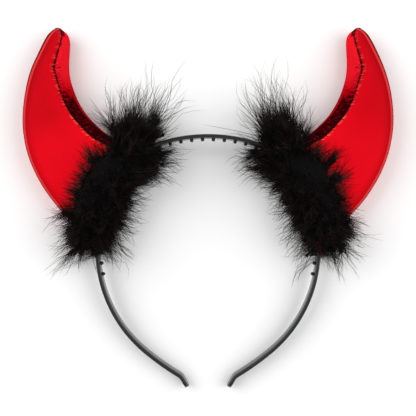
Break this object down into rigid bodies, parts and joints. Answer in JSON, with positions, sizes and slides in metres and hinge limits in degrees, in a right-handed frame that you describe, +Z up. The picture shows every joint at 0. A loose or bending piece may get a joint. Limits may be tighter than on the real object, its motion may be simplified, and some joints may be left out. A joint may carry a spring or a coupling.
{
  "type": "devil horns headband",
  "caption": "Toothed plastic hair band with two stuffed satin devil horns and a black feather trim round each horn's foot, lying on its back.",
  "frame": {"origin": "on the floor under the middle of the headband's box, as it lies on its back", "axes": "+X across the head towards the right horn, +Y from the band's tips towards the horns' tips, +Z up from the back of the headband to its front"},
  "size_m": [0.1978, 0.1946, 0.0375],
  "materials": {
    "band_plastic": "satin",
    "horn_satin": "satin",
    "trim_feather": "matte"
  },
  "bodies": {
    "root": {"hair_band": "band_plastic", "horn_left": "horn_satin", "feather_trim_left": "trim_feather", "horn_right": "horn_satin", "feather_trim_right": "trim_feather"}
  },
  "joints": []
}
